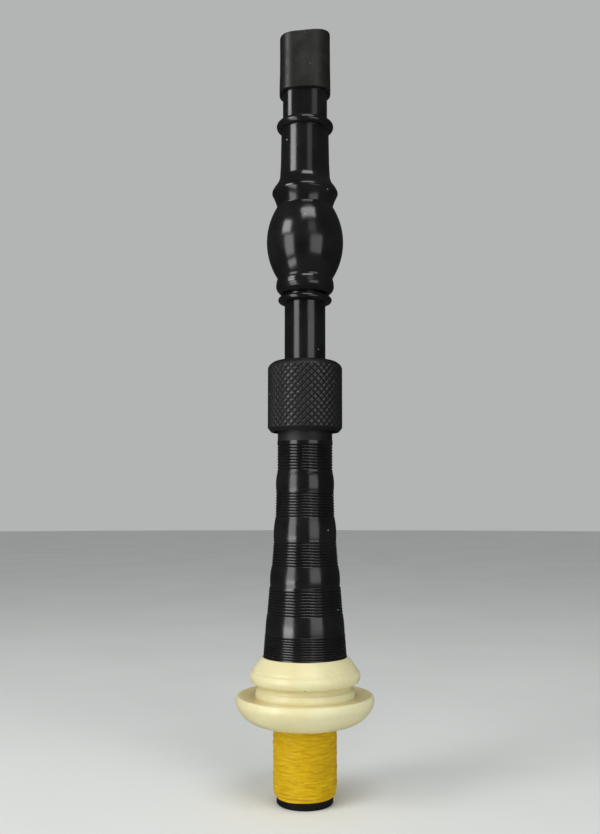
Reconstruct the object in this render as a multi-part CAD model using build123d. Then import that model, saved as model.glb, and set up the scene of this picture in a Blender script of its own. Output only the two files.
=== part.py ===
"""Adjustable blowpipe of a Highland bagpipe, built as it comes apart on a bench.

Z runs up the pipe from the tenon to the bite end. Z = 0 is the shoulder of the
projecting mount, which seats on the blowpipe stock. X is across, Y points away
from the player's view of the front. All sizes are in millimetres.
"""
from build123d import *
from math import cos, pi, radians, sin, tan
import os

os.makedirs("parts", exist_ok=True)

# Driving dimensions
TENON_RADIUS = 11.1        # over the hemp, for a 7/8 inch stock bore
TENON_LENGTH = 27.2
SHOULDER_TO_TIP = 244.6    # to the end of the bite stem
SLIDE_RADIUS = 7.32
COLLAR_RADIUS = 13.28
COLLAR_BOTTOM, COLLAR_TOP = 101.9, 127.2
RING_BOTTOM = 148.2        # slide tube's flange, as the pipe is set
TRAVEL_UP = 48.0           # slide travel from the set length
THREAD_PITCH = 1.5         # M22 x 1.5 collar thread
RUN = 0.06                 # radial clearance of a running fit
O_RING_GAP = 0.03          # between an O-ring and the wall it slides on

# Airway and bores
AIRWAY_RADIUS = 5.6
TUBE_AIRWAY_RADIUS = 4.6
MOUTH_AIRWAY_RADIUS = 4.2
SLIDE_BORE_RADIUS = 8.0
SLIDE_BORE_FLOOR = 29.5
VALVE_BORE_RADIUS = 7.2
VALVE_BORE_TOP = -9.0
GLAND_RADIUS = 8.9
GUIDE_BOTTOM, GUIDE_TOP = 106.0, 115.0
NECK_TOP = 120.0
NECK_RADIUS = 9.7

# Collar thread, M22 x 1.5: ridge on the neck, groove in the collar
NECK_ROOT_RADIUS = 10.1
NECK_CREST_RADIUS = 10.95
COLLAR_CREST_RADIUS = 10.2
COLLAR_ROOT_RADIUS = 11.08
THREAD_PLAY = 0.1          # along the axis, on each flank
RELIEF_RADIUS = 11.25      # clears the neck's thread at both ends of the collar
NECK_THREAD_START, NECK_THREAD_TURNS = 105.3, 9.2
COLLAR_THREAD_START, COLLAR_THREAD_TURNS = NECK_THREAD_START - 2 * THREAD_PITCH, 11.3
COLLAR_THREAD_BOTTOM, COLLAR_THREAD_TOP = 104.0, 119.0

# Tenon and projecting mount
HEMP_BOTTOM = -24.6
TENON_CORE_RADIUS = 9.4
TENON_END_RADIUS = 9.87
MOUNT_TOP = 23.1
MOUNT_BORE_RADIUS = 11.6
STICK_FOOT_RADIUS = 14.75

# Combing on the blowstick
COMB_GROOVES = 9
COMB_DEPTH = 0.3

# Mouthpiece and its spigot
SPIGOT_RADIUS = 6.94
SOCKET_RADIUS = 7.0
SPIGOT_TOP = 170.0
MOUTHPIECE_FOOT = 151.5
BITE_STEM_FOOT = 214.7

# Bite stem and rubber sleeve: flattened front and back for the teeth
BITE_HALF_WIDTH = 8.02
BITE_FLATNESS = 0.9        # depth over width
BITE_SQUARENESS = 3        # 2 would be an ellipse; more is nearer a rectangle
OVAL_POINTS = 40
SLEEVE_SECTIONS = ((220.0, 9.33), (227.0, 9.28), (234.0, 9.13), (252.0, 9.11))
SLEEVE_TOP, TOP_TILT = 246.4, (3.4, -5.1)      # height on the axis, tilt about X and Y
SLEEVE_FOOT, FOOT_TILT = 225.3, (2.3, -1.9)

# Collet and its washer
WASHER_BOTTOM, WASHER_TOP = 116.6, 117.6
GRIP_SHOULDER = 120.4
GRIP_HEAD_RADIUS = 9.8
GRIP_TIP_RADIUS = 8.4
GRIP_CONE_BOTTOM, GRIP_TOP = 121.8, 124.2
GRIP_SPLIT = 0.8

# Piston and O-rings of the slide tube
PISTON_BOTTOM = 49.5
PISTON_TOP = GUIDE_BOTTOM - TRAVEL_UP - 0.5
PISTON_RADIUS = SLIDE_BORE_RADIUS - 0.07
SLIDE_SEAL_HEIGHTS = (51.4, 54.9)
SLIDE_SEAL_INNER = 6.53
SLIDE_SEAL_HALF = 0.8
SPIGOT_SEAL_HEIGHTS = (157.0, 164.0)
SPIGOT_SEAL_INNER = 6.1
THIN_SEAL_HALF = 0.55      # half height of a groove for a thin O-ring
GLAND_SEAL_HEIGHT = 115.8

# Non-return valve in the tenon
VALVE_BOTTOM, VALVE_TOP = -26.7, -10.2
VALVE_THROAT_RADIUS = 6.1
SEAT_BOTTOM, SEAT_TOP = -13.4, -11.4
SEAT_RADIUS = 3.5
SEAT_OFFSET = -0.4
HINGE_Y, HINGE_Z = 4.5, -14.3
PIN_RADIUS, PIN_LENGTH = 0.4, 7.2
LUG_OFFSET, LUG_Y = 3.0, 4.6
LUG_SIZE = (1.2, 1.8, 1.82)
VALVE_SEAL_Z = -12.4
VALVE_SEAL_INNER = 6.2
FLAP_RADIUS, FLAP_THICKNESS = 4.2, 0.8
BARREL_RADIUS, BARREL_LENGTH = 0.8, 4.4


def turned(start, *steps):
    """Solid of revolution about Z from a closed outline of (radius, z) points.

    A step is the next point, or a pair of points for an arc: one that the arc
    passes through and the one that it ends at.
    """
    edges = []
    here = start
    for step in steps + (start,):
        if isinstance(step[0], tuple):
            through, end = step
            edges.append(ThreePointArc(at(here), at(through), at(end)))
        else:
            end = step
            edges.append(Line(at(here), at(end)))
        here = end
    return revolve(Face(Wire(edges)), Axis.Z, 360)


def at(point):
    radius, z = point
    return Vector(radius, 0, z)


def sleeve(inner, outer, bottom, top):
    """Plain ring between two radii."""
    return turned((inner, bottom), (outer, bottom), (outer, top), (inner, top))


def o_ring(inner, outer, z):
    """O-ring that fills the gap between two radii, centred at height z."""
    section = (outer - inner) / 2
    ring = Torus((outer + inner) / 2, section)
    return Pos(0, 0, z) * ring


def comb(bottom, top, low_radius, high_radius):
    """Outline points of one combed band: fine V grooves on a gentle taper."""
    pitch = (top - bottom) / COMB_GROOVES
    points = []
    for groove in range(COMB_GROOVES):
        z = bottom + groove * pitch
        radius = low_radius + (high_radius - low_radius) * (groove + 0.5) / COMB_GROOVES
        points.append((radius, z + 0.2 * pitch))
        points.append((radius - COMB_DEPTH, z + 0.5 * pitch))
        points.append((radius, z + 0.8 * pitch))
    return points


def thread(inner, outer, start, turns, play):
    """Right-handed helical ridge between two radii, with 60 degree flanks."""
    def half_width(radius):
        crest_half_width = THREAD_PITCH / 16
        return crest_half_width + (NECK_CREST_RADIUS - radius) * tan(radians(30)) + play

    section = Polyline(
        Vector(inner, 0, start - half_width(inner)),
        Vector(outer, 0, start - half_width(outer)),
        Vector(outer, 0, start + half_width(outer)),
        Vector(inner, 0, start + half_width(inner)),
        close=True)
    path = Pos(0, 0, start) * Helix(THREAD_PITCH, THREAD_PITCH * turns, inner)
    return sweep(Face(Wire(section.edges())), path=path, is_frenet=True)


def blowstick():
    """Lower body: tenon, combed and beaded stem, and the neck that takes the collar."""
    tenon = [(VALVE_BORE_RADIUS, -TENON_LENGTH),
             (TENON_END_RADIUS - 0.5, -TENON_LENGTH),
             (TENON_END_RADIUS, -TENON_LENGTH + 0.5),
             (TENON_END_RADIUS, HEMP_BOTTOM),
             (TENON_CORE_RADIUS, HEMP_BOTTOM),
             (TENON_CORE_RADIUS, 0),
             (MOUNT_BORE_RADIUS, 0),
             (MOUNT_BORE_RADIUS, MOUNT_TOP),
             (STICK_FOOT_RADIUS, MOUNT_TOP)]
    stem = []
    stem += comb(23.4, 31.0, 14.65, 14.1)
    stem += [(13.95, 31.1), ((13.82, 34.0), (13.4, 37.6))]
    stem += comb(37.8, 46.8, 13.35, 12.65)
    stem += [(12.25, 47.6), ((12.32, 50.7), (11.8, 54.4))]
    stem += comb(54.6, 63.4, 11.75, 11.08)
    stem += [(11.02, 63.8), ((11.08, 66.5), (10.5, 71.4))]
    stem += comb(71.7, 80.5, 10.46, 10.25)
    stem += [(10.15, 80.8), ((10.33, 83.6), (9.78, 87.8))]
    stem += comb(88.2, 97.4, 9.79, 9.79)
    stem += [(9.83, 97.7), (9.83, 98.7), (NECK_RADIUS, 99.1)]
    neck = [(NECK_RADIUS, 104.0),
            (NECK_ROOT_RADIUS, 104.4),
            (NECK_ROOT_RADIUS, NECK_TOP),
            (GLAND_RADIUS, NECK_TOP)]
    bore = [(GLAND_RADIUS, GUIDE_BOTTOM),
            (SLIDE_BORE_RADIUS, GUIDE_BOTTOM),
            (SLIDE_BORE_RADIUS, SLIDE_BORE_FLOOR),
            (AIRWAY_RADIUS, SLIDE_BORE_FLOOR),
            (AIRWAY_RADIUS, VALVE_BORE_TOP),
            (VALVE_BORE_RADIUS, VALVE_BORE_TOP)]
    outline = tenon + stem + neck + bore
    ridge = thread(NECK_ROOT_RADIUS - 0.05, NECK_CREST_RADIUS,
                   NECK_THREAD_START, NECK_THREAD_TURNS, 0)
    return turned(outline[0], *outline[1:]) + ridge


def projecting_mount():
    """Imitation-ivory mount: dished flange, ring, cove, bead and cone."""
    return turned(
        (MOUNT_BORE_RADIUS, 0),
        (14.5, 0),
        ((21.2, 2.7), (23.95, 6.6)),
        ((24.25, 8.0), (24.0, 9.3)),
        ((23.6, 9.9), (22.9, 9.8)),
        ((20.4, 9.0), (17.6, 8.7)),
        (17.2, 9.0),
        ((17.4, 10.5), (16.95, 12.0)),
        (16.6, 12.2),
        ((16.5, 13.2), (17.4, 14.1)),
        (18.5, 14.4),
        ((19.36, 16.2), (18.95, 18.1)),
        ((18.4, 18.5), (18.2, 19.2)),
        ((16.9, 20.9), (15.1, MOUNT_TOP)),
        (MOUNT_BORE_RADIUS, MOUNT_TOP))


def tenon_hemp():
    """Waxed hemp wound on the tenon, tapering off over its last turns."""
    return turned(
        (TENON_CORE_RADIUS, HEMP_BOTTOM),
        (TENON_END_RADIUS + 0.1, HEMP_BOTTOM),
        ((10.75, -23.0), (TENON_RADIUS, -21.0)),
        (TENON_RADIUS, 0),
        (TENON_CORE_RADIUS, 0))


def guide_bush():
    """Bush pressed into the neck: it guides the slide tube and keeps it in."""
    return turned(
        (SLIDE_RADIUS + RUN, GUIDE_BOTTOM + 0.4),
        (SLIDE_RADIUS + RUN + 0.4, GUIDE_BOTTOM),
        (GLAND_RADIUS, GUIDE_BOTTOM),
        (GLAND_RADIUS, GUIDE_TOP),
        (SLIDE_RADIUS + RUN, GUIDE_TOP))


def grip_ring():
    """Split collet that the collar's cone closes on the slide tube."""
    inner = SLIDE_RADIUS + RUN
    ring = turned(
        (inner, WASHER_TOP),
        (GLAND_RADIUS - RUN, WASHER_TOP),
        (GLAND_RADIUS - RUN, GRIP_SHOULDER),
        (GRIP_HEAD_RADIUS, GRIP_SHOULDER),
        (GRIP_HEAD_RADIUS, GRIP_CONE_BOTTOM),
        (GRIP_TIP_RADIUS, GRIP_TOP),
        (inner, GRIP_TOP))
    height = GRIP_TOP - WASHER_TOP + 2
    slot = Pos(0, GRIP_HEAD_RADIUS / 2 + 1, WASHER_TOP - 1 + height / 2) * Box(
        GRIP_SPLIT, GRIP_HEAD_RADIUS + 2, height)
    return ring - slot


def locking_collar():
    """Knurled collar: screw it down and its cone closes the grip ring."""
    gap = RUN
    collar = turned(
        (COLLAR_CREST_RADIUS, COLLAR_THREAD_BOTTOM),
        (RELIEF_RADIUS, COLLAR_THREAD_BOTTOM),
        (RELIEF_RADIUS, COLLAR_BOTTOM),
        (COLLAR_RADIUS - 1.2, COLLAR_BOTTOM),
        (COLLAR_RADIUS, COLLAR_BOTTOM + 1.5),
        (COLLAR_RADIUS, COLLAR_TOP - 2.5),
        ((COLLAR_RADIUS - 1.2, COLLAR_TOP - 0.85), (COLLAR_RADIUS - 3.3, COLLAR_TOP)),
        (SLIDE_RADIUS + 0.2, COLLAR_TOP),
        (SLIDE_RADIUS + 0.2, GRIP_TOP + 0.1),
        (GRIP_TIP_RADIUS + gap, GRIP_TOP + 0.1),
        (GRIP_HEAD_RADIUS + gap, GRIP_CONE_BOTTOM + 0.05),
        (GRIP_HEAD_RADIUS + gap, NECK_TOP + 0.3),
        (RELIEF_RADIUS, NECK_TOP + 0.3),
        (RELIEF_RADIUS, COLLAR_THREAD_TOP),
        (COLLAR_CREST_RADIUS, COLLAR_THREAD_TOP))
    groove = thread(COLLAR_CREST_RADIUS - 0.05, COLLAR_ROOT_RADIUS,
                    COLLAR_THREAD_START, COLLAR_THREAD_TURNS, THREAD_PLAY)
    return collar - groove


def slide_tube():
    """Telescoping tube: piston end in the blowstick, flange ring, mouthpiece spigot."""
    tube = turned(
        (TUBE_AIRWAY_RADIUS, PISTON_BOTTOM),
        (PISTON_RADIUS - 0.5, PISTON_BOTTOM),
        (PISTON_RADIUS, PISTON_BOTTOM + 0.5),
        (PISTON_RADIUS, PISTON_TOP),
        (SLIDE_RADIUS, PISTON_TOP),
        (SLIDE_RADIUS, RING_BOTTOM),
        (8.7, RING_BOTTOM + 0.1),
        ((9.6, RING_BOTTOM + 1.0), (8.6, RING_BOTTOM + 2.4)),
        (7.7, RING_BOTTOM + 2.4),
        (7.7, MOUTHPIECE_FOOT - 0.1),
        (SPIGOT_RADIUS, MOUTHPIECE_FOOT - 0.1),
        (SPIGOT_RADIUS, SPIGOT_TOP - 0.5),
        (SPIGOT_RADIUS - 0.5, SPIGOT_TOP),
        (TUBE_AIRWAY_RADIUS, SPIGOT_TOP))
    for z in SLIDE_SEAL_HEIGHTS:
        tube -= sleeve(SLIDE_SEAL_INNER, PISTON_RADIUS + 1,
                       z - SLIDE_SEAL_HALF, z + SLIDE_SEAL_HALF)
    for z in SPIGOT_SEAL_HEIGHTS:
        tube -= sleeve(SPIGOT_SEAL_INNER, SPIGOT_RADIUS + 1,
                       z - THIN_SEAL_HALF, z + THIN_SEAL_HALF)
    return tube


def oval(half_width, z):
    """Face at height z with the flattened, rounded section of the bite end."""
    half_depth = half_width * BITE_FLATNESS
    points = []
    for i in range(OVAL_POINTS):
        angle = 2 * pi * i / OVAL_POINTS
        across = (abs(cos(angle)) / half_width) ** BITE_SQUARENESS
        deep = (abs(sin(angle)) / half_depth) ** BITE_SQUARENESS
        reach = (across + deep) ** (-1 / BITE_SQUARENESS)
        points.append(Vector(reach * cos(angle), reach * sin(angle), z))
    return Face(Wire([Spline(*points, periodic=True)]))


def mouthpiece():
    """Turned mouthpiece with a bead, bulb, flare and ring, and its oval bite stem."""
    body = turned(
        (SOCKET_RADIUS, MOUTHPIECE_FOOT),
        (8.3, MOUTHPIECE_FOOT),
        (9.2, MOUTHPIECE_FOOT + 0.5),
        ((10.32, 153.7), (10.3, 155.2)),
        (9.95, 156.9),
        (10.0, 157.6),
        ((13.76, 170.6), (10.1, 183.2)),
        (10.1, 183.7),
        ((10.85, 186.0), (11.85, 188.1)),
        (11.85, 188.8),
        ((11.5, 189.6), (10.6, 191.0)),
        ((9.5, 192.8), (9.03, 194.6)),
        (8.78, 199.5),
        (8.6, 209.6),
        (8.6, 211.6),
        ((10.29, 213.1), (8.5, BITE_STEM_FOOT)),
        (MOUTH_AIRWAY_RADIUS, BITE_STEM_FOOT),
        (MOUTH_AIRWAY_RADIUS, SPIGOT_TOP + 2),
        (SOCKET_RADIUS, SPIGOT_TOP + 2))
    length = SHOULDER_TO_TIP - BITE_STEM_FOOT
    stem = extrude(oval(BITE_HALF_WIDTH, BITE_STEM_FOOT), length, dir=(0, 0, 1))
    airway = Pos(0, 0, BITE_STEM_FOOT + length / 2) * Cylinder(
        MOUTH_AIRWAY_RADIUS, length + 2)
    return body + (stem - airway)


def bite_sleeve():
    """Rubber sleeve pushed over the bite stem, both ends cut slightly askew."""
    outside = loft([oval(half_width, z) for z, half_width in SLEEVE_SECTIONS])
    bottom, top = SLEEVE_SECTIONS[0][0] - 1, SLEEVE_SECTIONS[-1][0] + 1
    inside = extrude(oval(BITE_HALF_WIDTH, bottom), top - bottom, dir=(0, 0, 1))
    above = Pos(0, 0, SLEEVE_TOP) * Rot(*TOP_TILT, 0) * Pos(0, 0, 10) * Box(40, 40, 20)
    below = Pos(0, 0, SLEEVE_FOOT) * Rot(*FOOT_TILT, 0) * Pos(0, 0, -10) * Box(40, 40, 20)
    return outside - inside - above - below


def on_hinge(shape):
    """Turns a shape that stands along Z to lie on the valve's hinge line."""
    return Pos(0, HINGE_Y, HINGE_Z) * Rot(0, 90, 0) * shape


def valve_housing():
    """Non-return valve body, pushed up into the tenon."""
    shell = turned(
        (VALVE_THROAT_RADIUS, VALVE_BOTTOM),
        (VALVE_BORE_RADIUS - 0.3, VALVE_BOTTOM),
        (VALVE_BORE_RADIUS, VALVE_BOTTOM + 0.3),
        (VALVE_BORE_RADIUS, VALVE_TOP),
        (VALVE_THROAT_RADIUS, VALVE_TOP),
        (VALVE_THROAT_RADIUS - 0.4, SEAT_TOP),
        (0, SEAT_TOP),
        (0, SEAT_BOTTOM),
        (VALVE_THROAT_RADIUS, SEAT_BOTTOM))
    throat = Cylinder(SEAT_RADIUS, 2 * (SEAT_TOP - SEAT_BOTTOM))
    shell -= Pos(0, SEAT_OFFSET, (SEAT_TOP + SEAT_BOTTOM) / 2) * throat
    shell -= sleeve(VALVE_SEAL_INNER, VALVE_BORE_RADIUS + 1,
                    VALVE_SEAL_Z - THIN_SEAL_HALF, VALVE_SEAL_Z + THIN_SEAL_HALF)
    for side in (-1, 1):
        shell += Pos(side * LUG_OFFSET, LUG_Y, HINGE_Z) * Box(*LUG_SIZE)
    return shell - on_hinge(Cylinder(PIN_RADIUS, PIN_LENGTH))


def flap_pin():
    """Hinge pin of the valve flap, held in the housing's two lugs."""
    return on_hinge(Cylinder(PIN_RADIUS, PIN_LENGTH))


def valve_flap():
    """Flap that hangs under its seat and opens towards the bag."""
    middle = SEAT_BOTTOM - 0.1 - FLAP_THICKNESS / 2
    disc = Pos(0, SEAT_OFFSET, middle) * Cylinder(FLAP_RADIUS, FLAP_THICKNESS)
    arm = Pos(0, 3.7, middle) * Box(3.6, 1.8, FLAP_THICKNESS)
    barrel = on_hinge(Cylinder(BARREL_RADIUS, BARREL_LENGTH))
    bore = on_hinge(Cylinder(PIN_RADIUS + 0.05, BARREL_LENGTH + 2))
    return disc + arm + barrel - bore


parts = {
    "blowstick": blowstick(),
    "projecting_mount": projecting_mount(),
    "tenon_hemp": tenon_hemp(),
    "guide_bush": guide_bush(),
    "gland_seal": o_ring(SLIDE_RADIUS + O_RING_GAP, GLAND_RADIUS - 0.02, GLAND_SEAL_HEIGHT),
    "thrust_washer": sleeve(SLIDE_RADIUS + RUN, GLAND_RADIUS - RUN,
                            WASHER_BOTTOM, WASHER_TOP),
    "grip_ring": grip_ring(),
    "locking_collar": locking_collar(),
    "slide_tube": slide_tube(),
    "slide_seals": Compound(children=[
        o_ring(SLIDE_SEAL_INNER, SLIDE_BORE_RADIUS - O_RING_GAP, z)
        for z in SLIDE_SEAL_HEIGHTS]),
    "mouthpiece_seals": Compound(children=[
        o_ring(SPIGOT_SEAL_INNER, SOCKET_RADIUS - O_RING_GAP, z)
        for z in SPIGOT_SEAL_HEIGHTS]),
    "mouthpiece": mouthpiece(),
    "bite_sleeve": bite_sleeve(),
    "valve_housing": valve_housing(),
    "valve_seal": o_ring(VALVE_SEAL_INNER, VALVE_BORE_RADIUS, VALVE_SEAL_Z),
    "valve_flap": valve_flap(),
    "flap_pin": flap_pin(),
}

for node, shape in parts.items():
    export_step(shape, f"parts/{node}.step")
    print(f"{node}: {shape.volume:.0f} mm3")
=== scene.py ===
# %% [markdown]
# # An adjustable bagpipe blowpipe, from turned blanks
# The blowpipe is a lathe job. Almost every piece is a shape spun about one axis,
# and the details that make it look real are cut or wound on afterwards: fine
# combing, a diamond knurl, screw threads and a winding of waxed hemp. So this
# lesson turns plain blanks with a small lathe of our own, and gives what repeats
# to Geometry Nodes. Pieces that stay inside keep their CAD shape and get finishes.

# %% Load the frame
import bpy
import math
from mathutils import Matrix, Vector


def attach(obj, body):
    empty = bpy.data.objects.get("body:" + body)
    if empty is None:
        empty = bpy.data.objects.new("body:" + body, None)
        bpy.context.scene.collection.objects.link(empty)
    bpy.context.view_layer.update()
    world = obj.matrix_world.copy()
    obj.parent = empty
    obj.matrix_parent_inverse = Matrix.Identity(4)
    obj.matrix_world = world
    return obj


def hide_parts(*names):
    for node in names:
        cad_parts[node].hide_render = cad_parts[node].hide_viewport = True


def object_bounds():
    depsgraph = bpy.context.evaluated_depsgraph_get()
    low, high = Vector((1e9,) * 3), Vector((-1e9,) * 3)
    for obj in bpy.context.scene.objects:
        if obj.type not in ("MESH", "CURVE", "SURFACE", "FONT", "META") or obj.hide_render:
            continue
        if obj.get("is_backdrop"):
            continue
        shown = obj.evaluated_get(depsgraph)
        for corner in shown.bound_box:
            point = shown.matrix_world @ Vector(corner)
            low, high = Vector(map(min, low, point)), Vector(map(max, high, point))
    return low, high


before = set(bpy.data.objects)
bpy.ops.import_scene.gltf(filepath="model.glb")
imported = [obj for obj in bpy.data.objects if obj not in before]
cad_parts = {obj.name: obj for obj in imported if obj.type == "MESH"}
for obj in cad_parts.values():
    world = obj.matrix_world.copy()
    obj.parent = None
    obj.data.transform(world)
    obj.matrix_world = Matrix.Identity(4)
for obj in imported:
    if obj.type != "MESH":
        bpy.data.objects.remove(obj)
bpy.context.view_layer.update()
MM = 0.001
TURN = math.tau

# %% [markdown]
# ## Outlines for the lathe
# A turner works from a profile: radius against height. Ours is a list of points in
# millimetres, where a pair of points stands for an arc through the first to the
# second. Arcs are divided finely enough to look round, and each sharp corner is
# eased a little, because a polished edge is never a knife edge and it is the small
# rounding that catches the light.

# %% Outline helpers
ARC_STEP = 0.3             # mm of arc to one facet
CORNER_FROM = math.radians(22)


def arc(a, b, c):
    """Points after a on the circle through a, b and c, ending at c."""
    (ax, ay), (bx, by), (cx, cy) = a, b, c
    d = 2 * (ax * (by - cy) + bx * (cy - ay) + cx * (ay - by))
    aa, bb, cc = ax * ax + ay * ay, bx * bx + by * by, cx * cx + cy * cy
    ux = (aa * (by - cy) + bb * (cy - ay) + cc * (ay - by)) / d
    uy = (aa * (cx - bx) + bb * (ax - cx) + cc * (bx - ax)) / d
    radius = math.hypot(ax - ux, ay - uy)
    start, middle, end = (math.atan2(y - uy, x - ux) for x, y in (a, b, c))
    sweep = (end - start) % TURN
    if (middle - start) % TURN > sweep:
        sweep -= TURN
    count = max(4, math.ceil(abs(sweep) * radius / ARC_STEP))
    angles = [start + sweep * i / count for i in range(1, count + 1)]
    return [(ux + radius * math.cos(t), uy + radius * math.sin(t)) for t in angles]


def outline(start, *steps):
    """Points of a profile: a step is a point, or (through, end) for an arc."""
    points = [start]
    for step in steps:
        if isinstance(step[0], tuple):
            points += arc(points[-1], *step)
        else:
            points.append(step)
    return points


def eased(points, size=0.12):
    """The closed profile with a small curve in place of each sharp corner."""
    made = []
    for i, corner in enumerate(points):
        here = Vector(corner)
        back = Vector(points[i - 1]) - here
        ahead = Vector(points[(i + 1) % len(points)]) - here
        if (-back).angle(ahead) < CORNER_FROM:
            made.append(corner)
            continue
        a = here + back.normalized() * min(size, 0.4 * back.length)
        b = here + ahead.normalized() * min(size, 0.4 * ahead.length)
        for t in (0, 0.25, 0.5, 0.75, 1):
            made.append(tuple(a * (1 - t) ** 2 + here * 2 * t * (1 - t) + b * t * t))
    return made


print("an eased square corner:", len(eased([(0, 0), (1, 0), (1, 1), (0, 1)])), "points")

# %% [markdown]
# ## The lathe
# Spinning a closed profile gives a ring-shaped skin with no seam and no pole, so it
# is watertight from the start. The profile runs anticlockwise, with the metal on its
# left, and then every face points outwards. The skin is made ring by ring, and a ring
# may change its reach with the angle, which the oval bite end needs later.

# %% Lathe
SEGMENTS = 168


def mesh_object(name, vertices, faces):
    """A new object in the scene from vertices in millimetres."""
    mesh = bpy.data.meshes.new(name)
    mesh.from_pydata([(x * MM, y * MM, z * MM) for x, y, z in vertices], [], faces)
    mesh.validate()
    obj = bpy.data.objects.new(name, mesh)
    bpy.context.scene.collection.objects.link(obj)
    return obj


def smooth(obj, angle=38):
    """Smooth shading with hard edges kept above an angle in degrees."""
    obj.data.shade_smooth()
    obj.data.set_sharp_from_angle(angle=math.radians(angle))
    return obj


def skin(name, rings, segments=SEGMENTS):
    """A closed skin through rings; a ring gives (radius, z) for an angle."""
    vertices, faces = [], []
    for ring in rings:
        for i in range(segments):
            angle = TURN * i / segments
            radius, z = ring(angle)
            vertices.append((radius * math.cos(angle), radius * math.sin(angle), z))
    for row in range(len(rings)):
        low, high = row * segments, (row + 1) % len(rings) * segments
        for i in range(segments):
            j = (i + 1) % segments
            faces.append((low + i, low + j, high + j, high + i))
    print(name, "turned with", len(rings), "rings")
    return smooth(mesh_object(name, vertices, faces))


def round_rings(points):
    """Rings of a profile that is the same all the way round."""
    return [lambda angle, point=point: point for point in points]


def lathe(name, points, segments=SEGMENTS):
    """Turns a closed profile of (radius, z) about Z."""
    return skin(name, round_rings(points), segments)


# %% [markdown]
# ## Node helpers
# Geometry and shader trees are built the same way: add a node, set its properties,
# and fill its inputs with numbers or with other nodes' outputs. These helpers keep
# each tree short enough to read. A tree has named inputs, so one recipe can be used
# for several pieces.

# %% Node helpers
def add(tree, kind, inputs=None, **settings):
    """A node of one kind, with its settings and inputs. Returns the node."""
    made = tree.nodes.new(kind)
    for name, value in settings.items():
        setattr(made, name, value)
    for key, value in (inputs or {}).items():
        if isinstance(value, bpy.types.NodeSocket):
            tree.links.new(value, made.inputs[key])
        else:
            made.inputs[key].default_value = value
    return made


def calc(tree, operation, *values):
    """The output of a Math node."""
    return add(tree, "ShaderNodeMath", dict(enumerate(values)),
               operation=operation).outputs[0]


def plus(tree, a, b):
    return calc(tree, "ADD", a, b)


def minus(tree, a, b):
    return calc(tree, "SUBTRACT", a, b)


def times(tree, a, b):
    return calc(tree, "MULTIPLY", a, b)


def scaled(tree, value, by, offset):
    """value * by + offset, in one node."""
    return calc(tree, "MULTIPLY_ADD", value, by, offset)


def parts(tree, place):
    """The x, y and z of a place, as three outputs."""
    return add(tree, "ShaderNodeSeparateXYZ", {0: place}).outputs


def vector(tree, x, y, z):
    return add(tree, "ShaderNodeCombineXYZ", {0: x, 1: y, 2: z}).outputs[0]


def noise(tree, place, detail, scale=1.0, **more):
    """The outputs of a Noise Texture at a place."""
    return add(tree, "ShaderNodeTexNoise", {"Vector": place, "Scale": scale, "Detail": detail,
                                            **more}).outputs


def remap(tree, value, low, high, to_low=0.0, to_high=1.0, **settings):
    """Maps low..high to to_low..to_high and holds the ends."""
    return add(tree, "ShaderNodeMapRange", {0: value, 1: low, 2: high, 3: to_low, 4: to_high},
               **settings).outputs[0]


def from_axis(tree, x, y):
    """Distance from the Z axis."""
    return calc(tree, "SQRT", plus(tree, times(tree, x, x), times(tree, y, y)))


def new_tree(name, inputs, output):
    """A tree with named inputs and one output. Returns it, its inputs and its end node.

    An input's value is a decimal, a whole number or a kind of socket. A tree that
    gives geometry is for a modifier, and any other is for materials."""
    kind, sort = ("Geometry", "Geometry") if output == "Geometry" else ("Shader", "Float")
    tree = bpy.data.node_groups.new(name, kind + "NodeTree")
    for label, value in inputs.items():
        number = {float: "Float", int: "Int"}.get(type(value))
        socket = tree.interface.new_socket(label, socket_type="NodeSocket" + (number or value))
        if number:
            socket.default_value = value
    tree.interface.new_socket(output, in_out="OUTPUT", socket_type="NodeSocket" + sort)
    return tree, tree.nodes.new("NodeGroupInput").outputs, tree.nodes.new("NodeGroupOutput")


def close(tree, result, end):
    """Gives the tree its result."""
    tree.links.new(result, end.inputs[0])
    return tree


def close_shape(tree, shape, material, end):
    """Ends a geometry tree as the export needs it: real meshes with a material."""
    real = add(tree, "GeometryNodeRealizeInstances", {0: shape})
    dressed = add(tree, "GeometryNodeSetMaterial", {0: real.outputs[0], "Material": material})
    return close(tree, dressed.outputs[0], end)


def moved_to(tree, shape, angle, radius, z):
    """The shape with its points at new polar positions."""
    place = from_polar(tree, angle, radius, z)
    return add(tree, "GeometryNodeSetPosition", {0: shape, "Position": place}).outputs[0]


def put_on(obj, tree, **values):
    """Adds the tree as a modifier; underscores in names stand for spaces."""
    modifier = obj.modifiers.new(tree.name, "NODES")
    modifier.node_group = tree
    for item in tree.interface.items_tree:
        key = item.name.replace(" ", "_")
        if item.in_out == "INPUT" and key in values:
            modifier[item.identifier] = values[key]


def bake(obj):
    """Turns what the modifiers make into the object's own plain mesh."""
    bpy.context.view_layer.update()
    graph = bpy.context.evaluated_depsgraph_get()
    mesh = bpy.data.meshes.new_from_object(obj.evaluated_get(graph))
    obj.modifiers.clear()
    obj.data = mesh
    print(obj.name, "baked:", len(mesh.vertices), "points,", len(mesh.polygons), "faces")
    return obj


def polar(tree):
    """Angle, radius and height of each point, about Z."""
    x, y, z = parts(tree, add(tree, "GeometryNodeInputPosition").outputs[0])
    return calc(tree, "ARCTAN2", y, x), from_axis(tree, x, y), z


def from_polar(tree, angle, radius, z):
    """A position from angle, radius and height."""
    x = times(tree, radius, calc(tree, "COSINE", angle))
    y = times(tree, radius, calc(tree, "SINE", angle))
    return vector(tree, x, y, z)


def wave(tree, value):
    """A triangle wave: 0 at whole numbers and 1 half way between them."""
    part = calc(tree, "FRACT", value)
    centred = calc(tree, "ABSOLUTE", scaled(tree, part, 2.0, -1.0))
    return minus(tree, 1.0, centred)


print("node helpers ready")

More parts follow.
